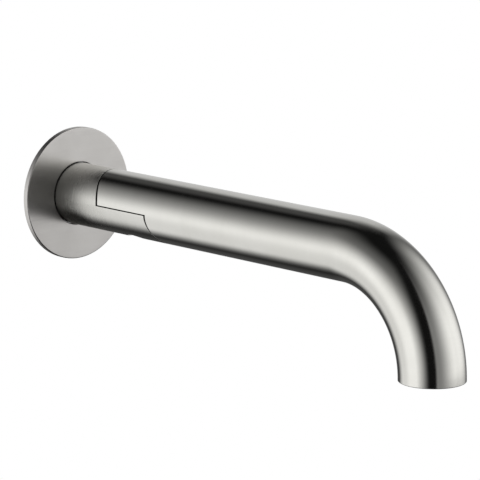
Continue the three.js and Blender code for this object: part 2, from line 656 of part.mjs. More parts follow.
// Screen: a thin disc of parallel slots.
function makeAeratorScreen() {
  const low = SCREEN_LOW;
  const high = low + SCREEN_THICKNESS;
  const room = CARTRIDGE_RADIUS - SCREEN_RIM_WIDTH;
  const pitch = SCREEN_SLOT_WIDTH + SCREEN_BAR_WIDTH;
  const slotsEachSide = Math.floor((room - SCREEN_SLOT_WIDTH / 2) / pitch);
  let screen = turnedOnOutlet(discOutline(CARTRIDGE_RADIUS, low, high), TUBE_FACETS);
  for (let slot = -slotsEachSide; slot <= slotsEachSide; slot += 1) {
    const edge = Math.abs(slot) * pitch + SCREEN_SLOT_WIDTH / 2;
    const half = Math.sqrt(room ** 2 - edge ** 2);
    const y = OUTLET_Y + slot * pitch;
    screen = screen.subtract(block(
      [-half, y - SCREEN_SLOT_WIDTH / 2, low - OVERCUT],
      [half, y + SCREEN_SLOT_WIDTH / 2, high + OVERCUT],
    ));
  }
  return screen;
}

// Regulator: a disc with a ring of round holes.
function makeFlowRegulator() {
  const low = REGULATOR_LOW;
  const high = low + REGULATOR_THICKNESS;
  let regulator = turnedOnOutlet(discOutline(CARTRIDGE_RADIUS, low, high), TUBE_FACETS);
  for (let hole = 0; hole < REGULATOR_HOLE_COUNT; hole += 1) {
    const angle = 2 * Math.PI * hole / REGULATOR_HOLE_COUNT;
    const x = REGULATOR_HOLE_ORBIT * Math.cos(angle);
    const y = OUTLET_Y + REGULATOR_HOLE_ORBIT * Math.sin(angle);
    regulator = regulator.subtract(
      post(REGULATOR_HOLE_RADIUS, x, y, low - OVERCUT, high + OVERCUT, SMALL_FACETS / 2),
    );
  }
  return regulator;
}

const flange = new THREE.Group();
flange.add(
  named('wall_flange', makeWallFlange(), 'nickel'),
  named('flange_wall_gasket', makeFlangeGasket(), 'foam'),
  named('flange_grip_ring', makeGripRing(), 'rubber'),
);

const base = new THREE.Group();
base.add(
  named('base_body', makeBaseBody(), 'nickel'),
  named('inlet_nipple', makeInletNipple(), 'brass'),
  named('wall_seal_washer', makeWallWasher(), 'rubber'),
  named('base_grub_screw', makeGrubScrew(), 'steel'),
);
NIPPLE_RING_REACHES.forEach((reach, i) => {
  const ring = tubeRing(ringCentre(NIPPLE_RADIUS), RING_SECTION_RADIUS, reach);
  base.add(named(`nipple_o_ring_${i + 1}`, ring, 'rubber'));
});

const turning = new THREE.Group();
turning.add(
  named('spout_body', makeSpoutBody(), 'nickel'),
  named('swivel_spigot', makeSwivelSpigot(), 'brass'),
  named('lap_slip_washer', makeSlipWasher(), 'plastic'),
  named('pivot_thrust_washer', makeThrustWasher(), 'plastic'),
  named('pivot_screw', makePivotScrew(), 'nickel'),
  named('swivel_stop_pin', makeStopPin(), 'steel'),
);
for (const [place, level] of Object.entries(SPIGOT_RINGS)) {
  const ring = pivotRing(ringCentre(SPIGOT_RADIUS), RING_SECTION_RADIUS, level);
  turning.add(named(`spigot_o_ring_${place}`, ring, 'rubber'));
}

turning.add(
  named('outlet_gasket', makeOutletGasket(), 'rubber'),
  named('aerator_housing', makeAeratorHousing(), 'brass'),
  named('aerator_cartridge', makeAeratorCartridge(), 'plastic'),
  named('aerator_screen', makeAeratorScreen(), 'steel'),
  named('flow_regulator', makeFlowRegulator(), 'plastic'),
);

const spout = new THREE.Group();
spout.add(base, flange, turning);

export default spout;
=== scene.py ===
"""Looks of a swivelling wall bath spout in brushed nickel, in metres, +Z up.

The wall is the plane y = 0 and the spout reaches out along -y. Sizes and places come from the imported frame.
"""
import json
import math

import bmesh
import bpy
from mathutils import Matrix, Vector


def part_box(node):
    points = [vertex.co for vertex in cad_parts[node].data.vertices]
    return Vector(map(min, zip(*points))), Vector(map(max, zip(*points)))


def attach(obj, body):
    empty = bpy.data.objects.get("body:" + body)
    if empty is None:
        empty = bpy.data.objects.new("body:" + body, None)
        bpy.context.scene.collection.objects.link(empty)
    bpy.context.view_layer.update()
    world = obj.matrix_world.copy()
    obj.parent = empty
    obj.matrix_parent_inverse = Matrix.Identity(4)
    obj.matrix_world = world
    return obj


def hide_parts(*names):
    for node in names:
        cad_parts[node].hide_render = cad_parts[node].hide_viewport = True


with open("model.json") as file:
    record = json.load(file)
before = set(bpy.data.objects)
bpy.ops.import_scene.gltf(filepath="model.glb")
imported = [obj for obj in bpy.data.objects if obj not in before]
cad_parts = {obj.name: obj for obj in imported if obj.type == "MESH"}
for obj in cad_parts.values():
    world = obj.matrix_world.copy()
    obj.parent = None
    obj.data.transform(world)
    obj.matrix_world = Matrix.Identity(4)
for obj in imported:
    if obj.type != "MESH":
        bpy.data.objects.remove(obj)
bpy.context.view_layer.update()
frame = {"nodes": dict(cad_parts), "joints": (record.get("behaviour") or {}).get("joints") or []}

MM = 0.001

# ---------------------------------------------------------------- sizes read from the frame

BASE_LOW, BASE_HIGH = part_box("base_body")
SPOUT_LOW, SPOUT_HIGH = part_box("spout_body")
FLANGE_LOW, FLANGE_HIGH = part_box("wall_flange")
GASKET_LOW, GASKET_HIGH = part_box("flange_wall_gasket")
GRIP_LOW, GRIP_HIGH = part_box("flange_grip_ring")
NIPPLE_LOW, NIPPLE_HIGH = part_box("inlet_nipple")
NIPPLE_RING_BOXES = [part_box("nipple_o_ring_1"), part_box("nipple_o_ring_2")]
WASHER_LOW, WASHER_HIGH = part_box("wall_seal_washer")
GRUB_LOW, GRUB_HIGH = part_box("base_grub_screw")
SCREW_LOW, SCREW_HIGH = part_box("pivot_screw")
_, THRUST_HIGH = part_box("pivot_thrust_washer")
_, SLIP_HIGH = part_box("lap_slip_washer")
SPIGOT_LOW, SPIGOT_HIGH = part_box("swivel_spigot")
PIN_LOW, PIN_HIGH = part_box("swivel_stop_pin")
HOUSING_LOW, HOUSING_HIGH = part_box("aerator_housing")
_, OUTLET_GASKET_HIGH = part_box("outlet_gasket")
PIVOT = Vector(next(j["pos_m"] for j in frame["joints"] if j["name"] == "spout_swivel"))

TUBE_RADIUS = SPOUT_HIGH.z
SPOUT_TONGUE_RADIUS = SPOUT_HIGH.y - PIVOT.y
BASE_TONGUE_RADIUS = PIVOT.y - BASE_LOW.y
NIPPLE_RADIUS = NIPPLE_RING_BOXES[0][1].x
SCREW_RADIUS = SCREW_HIGH.x
OUTLET = Vector((0, SPOUT_LOW.y + TUBE_RADIUS, SPOUT_LOW.z))
PIN_ORBIT = PIVOT.y - (PIN_LOW.y + PIN_HIGH.y) / 2

# ---------------------------------------------------------------- sizes that the boxes don't give

# Lap, its visible seams and what sits in it. The seams were set to look as wide as in the photo.
MIDDLE_SEAM = 0.5 * MM
REAR_SEAM = 0.85 * MM
FRONT_SEAM = 0.8 * MM
SEAM_EDGE = 0.15 * MM
PIN_GAP = 0.2 * MM
PIN_END_GAP = 0.3 * MM
GROOVE_RUN_OUT = 1 * MM
CHAMBER_RADIUS = 6.2 * MM
CHAMBER_TOP = 9.4 * MM

# Spout and base
OUTLET_DROP = 0.4 * MM
RIM_EDGE = 0.45 * MM
SPOUT_WALL = 2.5 * MM
BORE_START_WALL = 4.6 * MM
FIRST_RING_GAP = 4 * MM
SOCKET_END_GAP = 0.5 * MM
FULL_TUBE_START = 1.2 * MM

# Part of the underside that is meshed anew round a hole: half width and number of rows
GRUB_WINDOW = (4.5 * MM, 6)
PIVOT_WINDOW = (10.5 * MM, 14)

# Cover plate and its gasket
FLANGE_EDGE = 0.4 * MM
FLANGE_BACK_EDGE = 0.15 * MM
FLANGE_GAP = 0.1 * MM
FLANGE_MOUTH = 0.35 * MM
FLANGE_MOUTH_DEPTH = 0.5 * MM
FLANGE_HUB_WALL = 3.4 * MM
PANEL_INSET = 2 * MM
GASKET_SIDE_GAP = 0.3 * MM
GASKET_FACE_GAP = 0.1 * MM

# Nipple and its G 1/2 thread. The run-out is in pitches, the rows are per turn, and the flank sets its slope.
NIPPLE_GAP = 0.15 * MM
NIPPLE_BORE_RADIUS = 6 * MM
NIPPLE_CHAMFER = 0.5 * MM
NIPPLE_KEY_DEPTH = 8 * MM
NIPPLE_KEY_FLATS = 12 * MM
THREAD_MINOR_RADIUS = 9.32 * MM
THREAD_PITCH = 1.814 * MM
THREAD_TURNS = 7
THREAD_RELIEF = 1 * MM
THREAD_RUN_OUT = 0.6
THREAD_ROWS = 10
THREAD_FLANK = 0.62

# Screws
SCREW_GAP = 0.1 * MM
SCREW_SEAT_GAP = 0.25 * MM
SCREW_HEAD_THICKNESS = 1 * MM
SCREW_SHANK_RADIUS = 3 * MM
SCREW_KEY_FLATS = 4 * MM
SCREW_KEY_DEPTH = 2.4 * MM
GRUB_KEY_FLATS = 2.5 * MM
GRUB_KEY_DEPTH = 2 * MM

# Aerator ring
AERATOR_GAP = 0.15 * MM
AERATOR_WALL = 1.7 * MM
AERATOR_LIP_WIDTH = 0.9 * MM
AERATOR_LIP_HEIGHT = 1.4 * MM
AERATOR_SLOT_WIDTH = 3 * MM
AERATOR_SLOT_DEPTH = 1 * MM

# Shared
SMALL_EDGE = 0.2 * MM
LEVEL_GAP = 0.1 * MM
# Reach of the ambient occlusion that paints shade into crevices.
PAINTED_SHADE_REACH = 1.2 * MM

# Meshing: distances, and angles in degrees
WELD = 0.001 * MM
NEAR_SKIN = 0.05 * MM
SHARP_BEVEL = 35
SHARP_SHADING = 40

BEND_RADIUS = -OUTLET.z - OUTLET_DROP
STRAIGHT_LENGTH = -OUTLET.y - BEND_RADIUS
BEND_LENGTH = BEND_RADIUS * math.pi / 2
FULL_LENGTH = STRAIGHT_LENGTH + BEND_LENGTH + OUTLET_DROP

AROUND = 160
SMALL_AROUND = 96
BEND_RINGS = 48
STRAIGHT_RINGS = 12
BORE_RINGS = 16
TONGUE_ROWS = 8
PATCH_ROWS = 5
ARC_STEPS = 5
SLOT_STEPS = 4
SLOT_WALL_STEPS = 36

SKIN, MACHINED = 0, 1


# ---------------------------------------------------------------- mesh helpers

class Shell:
    """Faces given by their corner points and welded where they meet, each with one of the finishes."""

    def __init__(self):
        self.mesh = bmesh.new()
        self.finish = SKIN

    def face(self, points):
        face = self.mesh.faces.new([self.mesh.verts.new(point) for point in points])
        face.material_index = self.finish

    def strip(self, first, second):
        """Quads between two open rows of points."""
        for i in range(len(first) - 1):
            self.face([first[i], first[i + 1], second[i + 1], second[i]])

    def rows(self, rows):
        for first, second in zip(rows, rows[1:]):
            self.strip(first, second)

    def hollow(self, rings):
        """Quads between closed rings."""
        self.rows([ring + ring[:1] for ring in rings])

    def weld(self):
        bmesh.ops.remove_doubles(self.mesh, verts=self.mesh.verts, dist=WELD)
        bmesh.ops.recalc_face_normals(self.mesh, faces=self.mesh.faces)

    def soften(self, width, wanted):
        """Rounds the sharp convex edges whose middle is wanted."""
        edges = []
        for edge in self.mesh.edges:
            if len(edge.link_faces) == 2 and edge.calc_face_angle_signed(0.0) > math.radians(SHARP_BEVEL):
                if wanted((edge.verts[0].co + edge.verts[1].co) / 2):
                    edges.append(edge)
        bmesh.ops.bevel(
            self.mesh, geom=edges, offset=width, segments=3, profile=0.5, affect="EDGES",
            clamp_overlap=False, offset_type="OFFSET", loop_slide=True,
        )


def finished(shell, name, materials, grain):
    """Object from a shell.

    grain gives each corner's length round and along, and its place across the section.
    """
    mesh = shell.mesh
    around = mesh.loops.layers.uv.new("around")
    section = mesh.loops.layers.uv.new("section")
    for face in mesh.faces:
        middle = face.calc_center_median()
        for loop in face.loops:
            loop[around].uv, loop[section].uv = grain(loop.vert.co, middle, face)
    data = bpy.data.meshes.new(name)
    mesh.to_mesh(data)
    mesh.free()
    data.polygons.foreach_set("use_smooth", [True] * len(data.polygons))
    data.set_sharp_from_angle(angle=math.radians(SHARP_SHADING))
    for material in materials:
        data.materials.append(material)
    piece = bpy.data.objects.new(name, data)
    bpy.context.scene.collection.objects.link(piece)
    weighted = piece.modifiers.new("even_normals", "WEIGHTED_NORMAL")
    weighted.keep_sharp = True
    weighted.weight = 80
    return piece


def circle(count):
    return [2 * math.pi * i / count for i in range(count)]


def about_y(radius, y, angles):
    return [Vector((radius * math.cos(a), y, radius * math.sin(a))) for a in angles]


def about_z(radius, z, angles, centre):
    return [Vector((centre.x + radius * math.cos(a), centre.y + radius * math.sin(a), z)) for a in angles]


def arc(centre, radius, start, end):
    """Points of an arc in an outline's plane; start and end are in degrees."""
    turns = [math.radians(start + (end - start) * i / ARC_STEPS) for i in range(ARC_STEPS + 1)]
    return [(centre[0] + radius * math.cos(t), centre[1] + radius * math.sin(t)) for t in turns]


def hexagon_reach(across_flats, angle):
    """Distance from the centre of a hexagon to its side."""
    return across_flats / 2 / math.cos(angle % (math.pi / 3) - math.pi / 6)


def wrapped(angle, near):
    """The same angle within half a turn of another."""
    return near + (angle - near + math.pi) % (2 * math.pi) - math.pi


def ring_grain(centre, height):
    """Grain that runs round an upright axis, across its height or its radius."""
    def grain(point, middle, face):
        near = math.atan2(middle.y - centre.y, middle.x - centre.x)
        angle = wrapped(math.atan2(point.y - centre.y, point.x - centre.x), near)
        across = math.hypot(point.x - centre.x, point.y - centre.y) if abs(face.normal.z) > 0.5 else point.z
        section = (TUBE_RADIUS * math.cos(angle), TUBE_RADIUS * math.sin(angle))
        return (TUBE_RADIUS * angle, across + height), section
    return grain


PIVOT_GRAIN = ring_grain(PIVOT, 0.0)


def tube_grain(point, middle, face):
    """Grain that runs round the spout's centre line on the skin, and round the pivot on machined faces."""
    if face.material_index == MACHINED:
        return PIVOT_GRAIN(point, middle, face)

    def measured(place):
        if place.y > -STRAIGHT_LENGTH:
            return math.atan2(place.z, place.x), -place.y
        out = Vector((-STRAIGHT_LENGTH - place.y, place.z + BEND_RADIUS))
        turned = math.atan2(out.x, max(out.y, 0) + WELD)
        return math.atan2(out.length - BEND_RADIUS, place.x), STRAIGHT_LENGTH + BEND_RADIUS * turned

    near, _ = measured(middle)
    angle, along = measured(point)
    angle = wrapped(angle, near)
    section = (TUBE_RADIUS * math.cos(angle), TUBE_RADIUS * math.sin(angle))
    return (TUBE_RADIUS * angle, along), section


def turned_grain(point, middle, face):
    """Grain that runs round the tube's axis, across its length or its radius."""
    angle = wrapped(math.atan2(point.z, point.x), math.atan2(middle.z, middle.x))
    across = math.hypot(point.x, point.z) if abs(face.normal.y) > 0.5 else -point.y
    section = (TUBE_RADIUS * math.cos(angle), TUBE_RADIUS * math.sin(angle))
    return (TUBE_RADIUS * angle, across), section


def straight_grain(point, middle, face):
    """Grain that runs straight across, from side to side."""
    if abs(face.normal.y) < 0.5:
        return turned_grain(point, middle, face)
    return (point.x, point.z), (point.x, 0)


# ---------------------------------------------------------------- lap

def lap_reach(x, radius, side):
    """y of a lap face of that radius, x from the middle plane; side is 1 towards the wall."""
    return PIVOT.y + side * math.sqrt(radius ** 2 - x ** 2)


def lap_angles(flat):
    """Angles round the tube over and under a flat, each from one edge of the flat to the other."""
    start = math.asin(flat / TUBE_RADIUS)
    half = AROUND // 2
    over = [start + (math.pi - 2 * start) * i / half for i in range(half + 1)]
    under = [math.pi - start + (math.pi + 2 * start) * i / half for i in range(half + 1)]
    return over, under


def on_tube(angle, y):
    return Vector((TUBE_RADIUS * math.cos(angle), y, TUBE_RADIUS * math.sin(angle)))


def lap_row(angles, radius, side):
    return [on_tube(a, lap_reach(TUBE_RADIUS * math.cos(a), radius, side)) for a in angles]


def at_level(points, z):
    return [Vector((p.x, p.y, z)) for p in points]


def blend_rows(first, last, count):
    """Rows of points from one row to another, both included."""
    return [[a.lerp(b, i / count) for a, b in zip(first, last)] for i in range(count + 1)]


def without_repeats(loop):
    kept = []
    for point in loop:
        if not kept or (point - kept[-1]).length > WELD:
            kept.append(point)
    if (kept[0] - kept[-1]).length < WELD:
        kept.pop()
    return kept


def lap_flat(shell, edge, outline):
    """Flat of the lap from its edge loop in to a closing disc.

    outline lists (radius, function that gives the level in a direction from the pivot).
    """
    rings = [edge]
    for radius, level in outline:
        ring = []
        for point in edge:
            away = Vector((point.x - PIVOT.x, point.y - PIVOT.y, 0)).normalized()
            ring.append(Vector((PIVOT.x + radius * away.x, PIVOT.y + radius * away.y, level(away))))
        rings.append(ring)
    shell.hollow(rings)
    shell.face(rings[-1])


def on_lap_edge(point):
    """True on the tube's skin and on the lap's outer edges, but not at the bores inside."""
    from_pivot = math.hypot(point.x - PIVOT.x, point.y - PIVOT.y)
    return math.hypot(point.x, point.z) > TUBE_RADIUS - NEAR_SKIN or from_pivot > TUBE_RADIUS - NEAR_SKIN


# ---------------------------------------------------------------- spout

def spout_ring(along, radius):
    """Ring round the spout's centre line; along counts from the wall."""
    over, under = lap_angles(MIDDLE_SEAM / 2)
    turned = min(max((along - STRAIGHT_LENGTH) / BEND_RADIUS, 0), math.pi / 2)
    drop = max(along - STRAIGHT_LENGTH - BEND_LENGTH, 0)
    reach = min(along, STRAIGHT_LENGTH) + BEND_RADIUS * math.sin(turned)
    centre = Vector((0, -reach, -BEND_RADIUS * (1 - math.cos(turned)) - drop))
    outward = Vector((0, -math.sin(turned), math.cos(turned)))
    across = Vector((1, 0, 0))
    return [centre + radius * (math.cos(a) * across + math.sin(a) * outward) for a in over[:-1] + under[:-1]]


def make_spout(skin, machined):
    shell = Shell()
    flat = MIDDLE_SEAM / 2
    over, under = lap_angles(flat)
    pocket_radius = BASE_TONGUE_RADIUS + FRONT_SEAM
    rear = lap_row(over, SPOUT_TONGUE_RADIUS, 1)
    front_over = lap_row(over, pocket_radius, -1)
    front_under = lap_row(under, pocket_radius, -1)
    tongue = blend_rows(rear, front_over, TONGUE_ROWS)
    shell.rows(tongue)

    shell.finish = MACHINED
    shell.strip(rear, at_level(rear, flat))
    shell.strip(front_under, at_level(front_under, flat))
    edge = without_repeats(
        at_level(rear, flat) + [row[-1] for row in tongue]
        + at_level(front_under, flat) + [row[0] for row in reversed(tongue)]
    )
    bore_top = SPIGOT_HIGH.z + PIN_GAP
    lap_flat(shell, edge, [
        (SLIP_HIGH.x + NIPPLE_GAP, lambda away: flat),
        (SLIP_HIGH.x + NIPPLE_GAP, lambda away: SLIP_HIGH.z + LEVEL_GAP),
        (SPIGOT_HIGH.x + SCREW_GAP, lambda away: SLIP_HIGH.z + LEVEL_GAP),
        (SPIGOT_HIGH.x + SCREW_GAP, lambda away: bore_top),
        (CHAMBER_RADIUS, lambda away: bore_top),
        (CHAMBER_RADIUS, lambda away: CHAMBER_TOP),
    ])

    # Whole tube from the lap to the outlet.
    shell.finish = SKIN
    start = -PIVOT.y + pocket_radius + FIRST_RING_GAP
    rings = [front_over[:-1] + front_under[:-1]]
    for i in range(STRAIGHT_RINGS + 1):
        rings.append(spout_ring(start + (STRAIGHT_LENGTH - start) * i / STRAIGHT_RINGS, TUBE_RADIUS))
    for i in range(1, BEND_RINGS + 1):
        rings.append(spout_ring(STRAIGHT_LENGTH + BEND_LENGTH * i / BEND_RINGS, TUBE_RADIUS))

    # Rounded rim, aerator seat and bore.
    seat_radius = HOUSING_HIGH.x + AERATOR_GAP
    seat_depth = OUTLET_GASKET_HIGH.z + AERATOR_GAP - OUTLET.z
    outline = arc((TUBE_RADIUS - RIM_EDGE, FULL_LENGTH - RIM_EDGE), RIM_EDGE, 0, 90)
    outline += [(seat_radius + RIM_EDGE, FULL_LENGTH), (seat_radius, FULL_LENGTH - RIM_EDGE)]
    outline += [(seat_radius, FULL_LENGTH - OUTLET_DROP)]
    rings += [spout_ring(along, radius) for radius, along in outline]
    rings.append(at_level(rings[-1], OUTLET.z + seat_depth))
    bore_radius = TUBE_RADIUS - SPOUT_WALL
    first = FULL_LENGTH - seat_depth
    for i in range(BORE_RINGS + 1):
        rings.append(spout_ring(first + (STRAIGHT_LENGTH - first) * i / BORE_RINGS, bore_radius))
    rings.append(spout_ring(-PIVOT.y + pocket_radius + BORE_START_WALL, bore_radius))
    shell.hollow(rings)
    shell.face(rings[-1])
    shell.weld()
    shell.soften(SEAM_EDGE, on_lap_edge)
    return finished(shell, "spout_tube", [skin, machined], tube_grain)


# ---------------------------------------------------------------- base

def below_tube(x, y):
    return Vector((x, y, -math.sqrt(TUBE_RADIUS ** 2 - x ** 2)))


def round_hole(shell, window, centre, radius, top):
    """Patch of the tube's underside from a window's edge loop in to an upright round hole with a flat end."""
    rim = []
    for point in window:
        away = Vector((point.x - centre.x, point.y - centre.y, 0)).normalized() * radius
        rim.append(below_tube(centre.x + away.x, centre.y + away.y))
    shell.hollow([[below_tube(p.x, p.y) for p in row] for row in blend_rows(window, rim, PATCH_ROWS)])
    shell.finish = MACHINED
    roof = at_level(rim, top)
    shell.hollow([rim, roof])
    shell.face(roof)
    shell.finish = SKIN


def make_base(skin, machined):
    shell = Shell()
    flat = -MIDDLE_SEAM / 2
    over, under = lap_angles(flat)
    rear_over = lap_row(over, SPOUT_TONGUE_RADIUS + REAR_SEAM, 1)
    front = lap_row(under, BASE_TONGUE_RADIUS, -1)
    corner_y = rear_over[0].y
    full_y = max(p.y for p in rear_over) + FULL_TUBE_START

    # Rows of the underside stand closer where a hole is cut. Each hole has its centre, its radius, its
    # window's half width and number of rows, and the level of its end.
    grub = Vector((0, (GRUB_LOW.y + GRUB_HIGH.y) / 2, 0))
    holes = [
        (grub, GRUB_HIGH.x + SCREW_GAP, *GRUB_WINDOW, -NIPPLE_RADIUS - NIPPLE_GAP - LEVEL_GAP / 2),
        (PIVOT, SCREW_RADIUS + SCREW_SEAT_GAP, *PIVOT_WINDOW, THRUST_HIGH.z + LEVEL_GAP),
    ]
    window_rows = []
    for centre, _, half, count, _ in holes:
        window_rows.append([centre.y + half - 2 * half * i / count for i in range(count + 1)])
    levels = [BASE_HIGH.y] + window_rows[0] + [full_y, corner_y] + window_rows[1]
    below = [[on_tube(a, y) for a in under] for y in levels] + [front]

    open_quads = set()
    loops = []
    for (centre, _, half, _, _), rows in zip(holes, window_rows):
        columns = [c for c, p in enumerate(below[0]) if abs(p.x) < half]
        left, right = columns[0], columns[-1]
        near = levels.index(rows[0])
        far = near + len(rows) - 1
        open_quads.update((r, c) for r in range(near, far) for c in range(left, right))
        loop = [below[near][c] for c in range(left, right)]
        loop += [below[r][right] for r in range(near, far)]
        loop += [below[far][c] for c in range(right, left, -1)]
        loop += [below[r][left] for r in range(far, near, -1)]
        loops.append(loop)
    for r, (first, second) in enumerate(zip(below, below[1:])):
        for c in range(len(first) - 1):
            if (r, c) not in open_quads:
                shell.face([first[c], first[c + 1], second[c + 1], second[c]])
    for (centre, radius, _, _, top), loop in zip(holes, loops):
        round_hole(shell, loop, centre, radius, top)

    # Upper side, as far as the pocket that the spout's tongue turns in.
    above = [[on_tube(a, y) for a in over] for y in levels if y > full_y - WELD]
    shell.rows(above + [rear_over])

    # Wall end with the socket for the nipple.
    angles = over[:-1] + under[:-1]
    socket_radius = NIPPLE_RADIUS + NIPPLE_GAP
    socket_end = NIPPLE_LOW.y - SOCKET_END_GAP
    shell.finish = MACHINED
    rings = [
        about_y(TUBE_RADIUS, BASE_HIGH.y, angles),
        about_y(socket_radius, BASE_HIGH.y, angles),
        about_y(socket_radius, socket_end, angles),
    ]
    shell.hollow(rings)
    shell.face(rings[-1])

    # Upright ends and the flat, with the stop pin's groove and the pivot bore.
    shell.strip(rear_over, at_level(rear_over, flat))
    shell.strip(front, at_level(front, flat))
    sides = [row for row in below if corner_y + WELD > row[0].y]
    edge = without_repeats(
        at_level(rear_over, flat) + [row[0] for row in sides]
        + at_level(front, flat) + [row[-1] for row in reversed(sides)]
    )
    pin_radius = PIN_HIGH.x
    groove_half = pin_radius + PIN_GAP
    groove_end = (groove_half + GROOVE_RUN_OUT) / PIN_ORBIT

    def groove_level(away):
        return PIN_LOW.z - PIN_END_GAP if away.y < groove_end else flat

    # The web under the spigot has no bore of its own, so the pivot screw's shank passes through it unseen.
    lap_flat(shell, edge, [
        (PIN_ORBIT + groove_half, lambda away: flat),
        (PIN_ORBIT + groove_half, groove_level),
        (PIN_ORBIT - groove_half, groove_level),
        (PIN_ORBIT - groove_half, lambda away: flat),
        (SPIGOT_HIGH.x + SCREW_GAP, lambda away: flat),
        (SPIGOT_HIGH.x + SCREW_GAP, lambda away: SPIGOT_LOW.z - PIN_GAP),
    ])
    shell.weld()
    shell.soften(SEAM_EDGE, on_lap_edge)
    return finished(shell, "base_tube", [skin, machined], tube_grain)


# ---------------------------------------------------------------- flange, its gasket and the wall washer

def make_turned(name, outline, material, grain=turned_grain, count=AROUND):
    """Piece turned about the tube's axis from a closed outline of (radius, y)."""
    shell = Shell()
    rings = [about_y(radius, y, circle(count)) for radius, y in outline]
    shell.hollow(rings + rings[:1])
    shell.weld()
    return finished(shell, name, [material], grain)


def make_flange(material):
    outer = FLANGE_HIGH.x
    front = FLANGE_LOW.y
    bore = TUBE_RADIUS + FLANGE_GAP
    hub = bore + FLANGE_HUB_WALL
    recess = GASKET_HIGH.x + GASKET_SIDE_GAP
    recess_front = GASKET_LOW.y - GASKET_FACE_GAP
    groove = GRIP_HIGH.x + LEVEL_GAP
    mouth = bore + FLANGE_MOUTH
    outline = [(bore, front + FLANGE_MOUTH_DEPTH)]
    outline += [(bore, GRIP_LOW.y - LEVEL_GAP), (groove, GRIP_LOW.y - LEVEL_GAP)]
    outline += [(groove, GRIP_HIGH.y + LEVEL_GAP), (bore, GRIP_HIGH.y + LEVEL_GAP)]
    outline += [(bore, 0), (hub, 0), (hub, recess_front), (recess, recess_front), (recess, 0)]
    outline += arc((outer - FLANGE_BACK_EDGE, -FLANGE_BACK_EDGE), FLANGE_BACK_EDGE, 90, 0)
    outline += arc((outer - FLANGE_EDGE, front + FLANGE_EDGE), FLANGE_EDGE, 0, -90)
    outline += [(outer - PANEL_INSET, front), (mouth + PANEL_INSET, front), (mouth, front)]
    return make_turned("cover_flange", outline, material, straight_grain, 2 * AROUND)


def rounded_ring(inner, outer, low, high, edge):
    """Closed outline of a flat ring with rounded edges."""
    return (
        arc((outer - edge, low + edge), edge, -90, 0) + arc((outer - edge, high - edge), edge, 0, 90)
        + arc((inner + edge, high - edge), edge, 90, 180) + arc((inner + edge, low + edge), edge, 180, 270)
    )


def make_gasket(material):
    inner = TUBE_RADIUS + FLANGE_GAP + FLANGE_HUB_WALL + GASKET_SIDE_GAP
    outline = rounded_ring(inner, GASKET_HIGH.x, GASKET_LOW.y, GASKET_HIGH.y, SMALL_EDGE)
    return make_turned("foam_wall_gasket", outline, material)


def make_washer(material):
    inner = NIPPLE_RADIUS + 2 * NIPPLE_GAP
    outline = rounded_ring(inner, WASHER_HIGH.x, WASHER_LOW.y, WASHER_HIGH.y, SMALL_EDGE)
    return make_turned("wall_sealing_washer", outline, material)


# ---------------------------------------------------------------- nipple

def thread_rows():
    """Rows of a helical thread that fades into its core at both ends."""
    core = THREAD_MINOR_RADIUS
    depth = NIPPLE_HIGH.x - core
    end = NIPPLE_HIGH.y - NIPPLE_CHAMFER
    start = end - THREAD_TURNS * THREAD_PITCH
    run_out = THREAD_RUN_OUT * THREAD_PITCH
    rows = []
    for i in range(THREAD_ROWS * (THREAD_TURNS + 1) + 1):
        turns = i / THREAD_ROWS - 1
        crest = min(max(0.5 - THREAD_FLANK * math.cos(2 * math.pi * turns), 0), 1)
        row = []
        for column in range(SMALL_AROUND + 1):
            angle = 2 * math.pi * column / SMALL_AROUND
            y = min(max(start + (turns + column / SMALL_AROUND) * THREAD_PITCH, start), end)
            fade = min((y - start) / run_out, (end - y) / run_out, 1)
            radius = core + depth * crest * fade
            row.append(Vector((radius * math.cos(angle), y, radius * math.sin(angle))))
        rows.append(row)
    return rows, start, end


def make_nipple(material):
    shell = Shell()
    turns = circle(SMALL_AROUND)
    rows, thread_start, thread_end = thread_rows()
    shell.rows(rows)
    front = NIPPLE_LOW.y
    outline = [(NIPPLE_RADIUS - NIPPLE_CHAMFER, front), (NIPPLE_RADIUS, front + NIPPLE_CHAMFER)]
    for low, high in sorted(NIPPLE_RING_BOXES, key=lambda box: box[0].y):
        floor = NIPPLE_RADIUS - (high.y - low.y) - LEVEL_GAP
        near, far = low.y - LEVEL_GAP, high.y + LEVEL_GAP
        outline += [(NIPPLE_RADIUS, near), (floor, near), (floor, far), (NIPPLE_RADIUS, far)]
    relief = thread_start - THREAD_RELIEF
    outline += [(NIPPLE_RADIUS, relief), (THREAD_MINOR_RADIUS, relief), (THREAD_MINOR_RADIUS, thread_start)]
    hexagon = [hexagon_reach(NIPPLE_KEY_FLATS, a) for a in turns]

    def key_ring(y):
        return [Vector((reach * math.cos(a), y, reach * math.sin(a))) for reach, a in zip(hexagon, turns)]

    key_end = front + NIPPLE_KEY_DEPTH
    shell.hollow([key_ring(front)] + [about_y(radius, y, turns) for radius, y in outline])
    back = NIPPLE_HIGH.y
    shell.hollow([
        about_y(THREAD_MINOR_RADIUS, thread_end, turns),
        about_y(THREAD_MINOR_RADIUS - NIPPLE_CHAMFER, back, turns),
        about_y(NIPPLE_BORE_RADIUS + SMALL_EDGE, back, turns),
        about_y(NIPPLE_BORE_RADIUS, back - SMALL_EDGE, turns),
        about_y(NIPPLE_BORE_RADIUS, key_end, turns),
        key_ring(key_end),
        key_ring(front),
    ])
    shell.weld()
    return finished(shell, "threaded_inlet_nipple", [material], turned_grain)


# ---------------------------------------------------------------- screws

